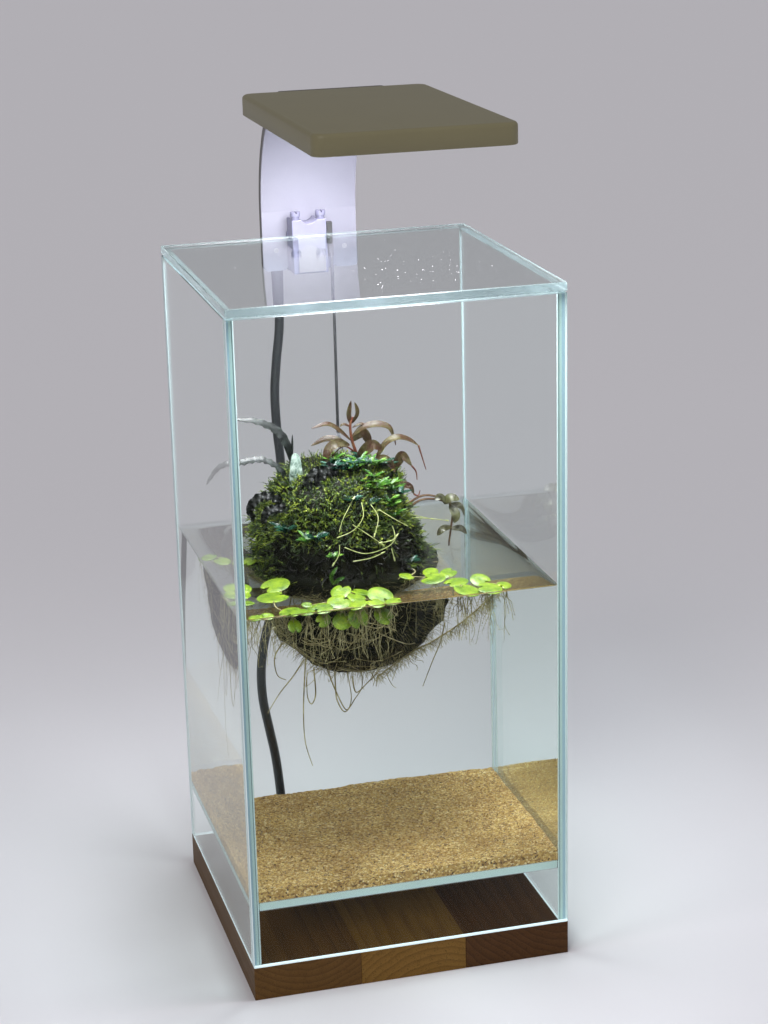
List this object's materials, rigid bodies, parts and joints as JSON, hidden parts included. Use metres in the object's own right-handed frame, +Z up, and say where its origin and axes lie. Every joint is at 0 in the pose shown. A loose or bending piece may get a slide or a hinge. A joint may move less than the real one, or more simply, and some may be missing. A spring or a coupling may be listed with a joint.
{
  "type": "aquarium on stand",
  "caption": "Small tall rimless glass tank with a raised floor, loose glass lid, sand, water and a hanging planted island, on a wooden base, with an LED lamp clamped to its back rim.",
  "frame": {"origin": "middle of the underside of the wooden base", "axes": "+Z up, -Y towards the tank's front pane, +X to the viewer's right when facing the front"},
  "size_m": [0.15, 0.2745, 0.3946],
  "materials": {
    "wood_brown": "satin oil, medium dark brown",
    "wood_golden": "satin oil, golden brown",
    "wood_red": "satin oil, dark red-brown",
    "glass": "polished float glass with pale green edges",
    "silicone": "clear silicone",
    "bumper": "clear silicone",
    "sand": "loose grains, matt",
    "water": "clear liquid",
    "root_ball": "wet, matt",
    "moss": "wet moss",
    "dark_leaf": "waxy, nearly black",
    "red_leaf": "waxy, red-brown",
    "green_leaf": "waxy, dark green",
    "runner": "waxy, pale yellow-green",
    "floating_leaf": "waxy, lime green",
    "root": "fine and pale",
    "steel": "brushed",
    "black_rubber": "matt",
    "head_shell": "champagne, satin",
    "board": "white solder mask",
    "led": "phosphor",
    "diffuser": "clear, lightly frosted",
    "arm_front": "white, satin",
    "arm_back": "dark champagne, satin",
    "lead": "insulated wire",
    "clear_acrylic": "clear, polished",
    "cord_black": "satin black sheath",
    "tie": "woven",
    "plug_black": "moulded",
    "plug_steel": "plated",
    "plug_insert": "moulded"
  },
  "bodies": {
    "tank": {"stave_left": "wood_brown", "stave_middle": "wood_golden", "stave_right": "wood_red", "front_pane": "glass", "back_pane": "glass", "left_pane": "glass", "right_pane": "glass", "floor_pane": "glass", "silicone_seams": "silicone", "sand_bed": "sand", "water": "water", "island_core": "root_ball", "moss_mound": "moss", "dark_leaf_plant": "dark_leaf", "red_stem_plant": "red_leaf", "side_stem_plant": "red_leaf", "small_rosettes": "green_leaf", "runners": "runner", "floating_leaves": "floating_leaf", "floating_roots": "root", "hanger_band": "steel", "hanger_tab": "black_rubber", "lamp_housing": "head_shell", "led_board": "board", "leds": "led", "board_screws": "steel", "lamp_diffuser": "diffuser", "lamp_arm": "arm_front", "arm_cover": "arm_back", "arm_screws": "steel", "lamp_leads": "lead", "clip_block": "clear_acrylic", "clip_screws": "steel", "rim_hook": "steel", "cord_relief": "cord_black", "cord": "cord_black", "cord_coil": "cord_black", "cord_tail": "cord_black", "cord_tie": "tie", "plug_boot": "plug_black", "plug_body": "plug_black", "plug_shell": "plug_steel", "plug_tongue": "plug_insert"},
    "lid": {"lid": "glass", "lid_bumpers": "bumper"},
    "left_pad": {"clamp_pad_left": "black_rubber"},
    "right_pad": {"clamp_pad_right": "black_rubber"},
    "left_screw": {"clamp_screw_left": "clear_acrylic"},
    "right_screw": {"clamp_screw_right": "clear_acrylic"}
  },
  "joints": [
    {"name": "lid_lift", "type": "slide", "parent": "tank", "child": "lid", "axis": [0, 0, 1], "range_m": [0, 0.035]},
    {"name": "left_pad_press", "type": "slide", "parent": "tank", "child": "left_pad", "axis": [0, 0, 1], "range_m": [0, 0.0014]},
    {"name": "left_screw_turn", "type": "hinge", "parent": "left_pad", "child": "left_screw", "pos_m": [-0.0088, 0.078, 0.32], "axis": [0, 0, 1], "range_deg": [0, 720]},
    {"name": "right_pad_press", "type": "slide", "parent": "tank", "child": "right_pad", "axis": [0, 0, 1], "range_m": [0, 0.0014]},
    {"name": "right_screw_turn", "type": "hinge", "parent": "right_pad", "child": "right_screw", "pos_m": [0.0036, 0.078, 0.32], "axis": [0, 0, 1], "range_deg": [0, 720]}
  ],
  "couplings": [
    {"joint": "left_screw_turn", "follows": "left_pad_press", "rad_per_m": 8975.9},
    {"joint": "right_screw_turn", "follows": "right_pad_press", "rad_per_m": 8975.9}
  ]
}
